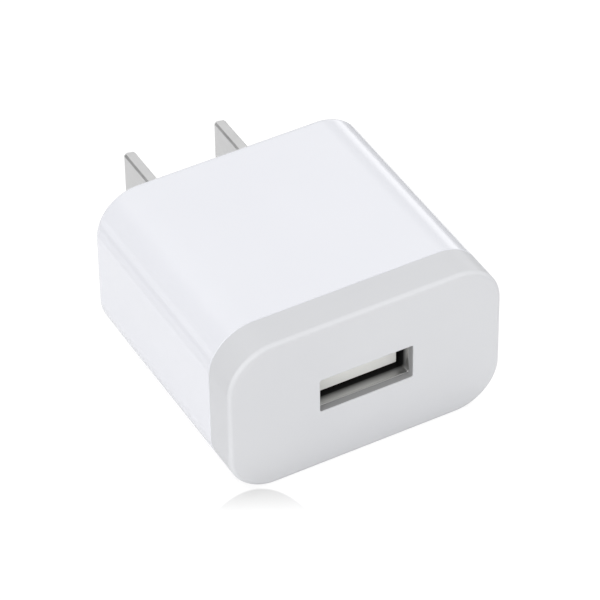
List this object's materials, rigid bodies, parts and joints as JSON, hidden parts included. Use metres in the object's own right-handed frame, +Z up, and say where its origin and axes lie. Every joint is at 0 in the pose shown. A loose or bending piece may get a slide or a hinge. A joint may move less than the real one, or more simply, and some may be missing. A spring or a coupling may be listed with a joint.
{
  "type": "usb wall charger",
  "caption": "Small rounded-box USB wall charger with fixed parallel flat blades at one end and a USB-A socket in a satin grey end cap at the other.",
  "frame": {"origin": "centre of the wall face, midway between the blades", "axes": "+Y out of the wall face along the blades, +X across the blades from left to right, +Z up when the charger lies on its broad face, with the socket's tongue low"},
  "size_m": [0.0364, 0.0488, 0.0216],
  "materials": {
    "sleeve_plastic": "polished white ABS/PC moulding",
    "cap_plastic": "satin light grey moulding",
    "blade_nickel": "nickel-plated brass, satin",
    "shell_steel": "tin-plated sheet steel",
    "insulator_nylon": "white glass-filled nylon",
    "contact_gold": "gold-flashed phosphor bronze",
    "ferrite": "sintered ferrite, matt",
    "bobbin_resin": "black phenolic moulding",
    "copper_wire": "enamelled copper wire",
    "yellow_tape": "polyester tape",
    "board_laminate": "glass-epoxy laminate with green solder mask",
    "can_sleeve": "shrink sleeve over an aluminium can",
    "can_aluminium": "bare aluminium can",
    "disc_lacquer": "dipped ceramic disc",
    "fuse_lacquer": "flameproof lacquer",
    "inductor_sleeve": "shrink sleeve over a ferrite drum",
    "spring_nickel": "nickel-plated spring strip",
    "barrier_film": "polyester insulation film",
    "package_resin": "moulded epoxy package, tinned leads",
    "chip_resistor": "glazed chip with tinned ends",
    "chip_ceramic": "ceramic chip with tinned ends"
  },
  "bodies": {
    "case": {"housing_sleeve": "sleeve_plastic", "front_cap": "cap_plastic", "blade_left": "blade_nickel", "blade_right": "blade_nickel", "usb_shell": "shell_steel", "usb_insulator": "insulator_nylon", "core_half_front": "ferrite", "core_half_rear": "ferrite", "transformer_bobbin": "bobbin_resin", "transformer_winding": "copper_wire", "core_tape": "yellow_tape", "main_board": "board_laminate", "input_capacitor_1": "can_sleeve", "input_capacitor_2": "can_sleeve", "output_capacitor_1": "can_aluminium", "output_capacitor_2": "can_aluminium", "barrier_capacitor": "disc_lacquer", "fuse_resistor": "fuse_lacquer", "filter_inductor": "inductor_sleeve", "blade_spring_left": "spring_nickel", "blade_spring_right": "spring_nickel", "insulation_barrier": "barrier_film", "bridge_rectifier": "package_resin", "controller_chip": "package_resin", "output_rectifier": "package_resin", "snubber_diode": "package_resin", "chip_resistor_1": "chip_resistor", "chip_resistor_2": "chip_resistor", "chip_resistor_3": "chip_resistor", "chip_capacitor_1": "chip_ceramic", "chip_capacitor_2": "chip_ceramic", "contact_terminal_power": "contact_gold", "contact_terminal_data_minus": "contact_gold", "contact_terminal_data_plus": "contact_gold", "contact_terminal_ground": "contact_gold"},
    "contact_spring_power": {"contact_spring_power": "contact_gold"},
    "contact_spring_data_minus": {"contact_spring_data_minus": "contact_gold"},
    "contact_spring_data_plus": {"contact_spring_data_plus": "contact_gold"},
    "contact_spring_ground": {"contact_spring_ground": "contact_gold"},
    "upper_latch_left": {"upper_latch_left": "shell_steel"},
    "lower_latch_left": {"lower_latch_left": "shell_steel"},
    "upper_latch_right": {"upper_latch_right": "shell_steel"},
    "lower_latch_right": {"lower_latch_right": "shell_steel"}
  },
  "joints": [
    {"name": "power_contact_flex", "type": "hinge", "parent": "case", "child": "contact_spring_power", "pos_m": [-0.0035, -0.0227, -0.00045], "axis": [1, 0, 0], "range_deg": [0, 4.2], "stiffness_Nm_per_rad": 0.1},
    {"name": "data_minus_contact_flex", "type": "hinge", "parent": "case", "child": "contact_spring_data_minus", "pos_m": [-0.001, -0.0227, -0.00045], "axis": [1, 0, 0], "range_deg": [0, 4.2], "stiffness_Nm_per_rad": 0.1},
    {"name": "data_plus_contact_flex", "type": "hinge", "parent": "case", "child": "contact_spring_data_plus", "pos_m": [0.001, -0.0227, -0.00045], "axis": [1, 0, 0], "range_deg": [0, 4.2], "stiffness_Nm_per_rad": 0.1},
    {"name": "ground_contact_flex", "type": "hinge", "parent": "case", "child": "contact_spring_ground", "pos_m": [0.0035, -0.0227, -0.00045], "axis": [1, 0, 0], "range_deg": [0, 4.2], "stiffness_Nm_per_rad": 0.1},
    {"name": "upper_latch_left_flex", "type": "hinge", "parent": "case", "child": "upper_latch_left", "pos_m": [-0.003, -0.02475, 0.0027], "axis": [-1, 0, 0], "range_deg": [0, 6], "stiffness_Nm_per_rad": 0.08},
    {"name": "lower_latch_left_flex", "type": "hinge", "parent": "case", "child": "lower_latch_left", "pos_m": [-0.003, -0.02475, -0.00244], "axis": [1, 0, 0], "range_deg": [0, 2.5], "stiffness_Nm_per_rad": 0.08},
    {"name": "upper_latch_right_flex", "type": "hinge", "parent": "case", "child": "upper_latch_right", "pos_m": [0.003, -0.02475, 0.0027], "axis": [-1, 0, 0], "range_deg": [0, 6], "stiffness_Nm_per_rad": 0.08},
    {"name": "lower_latch_right_flex", "type": "hinge", "parent": "case", "child": "lower_latch_right", "pos_m": [0.003, -0.02475, -0.00244], "axis": [1, 0, 0], "range_deg": [0, 2.5], "stiffness_Nm_per_rad": 0.08}
  ]
}
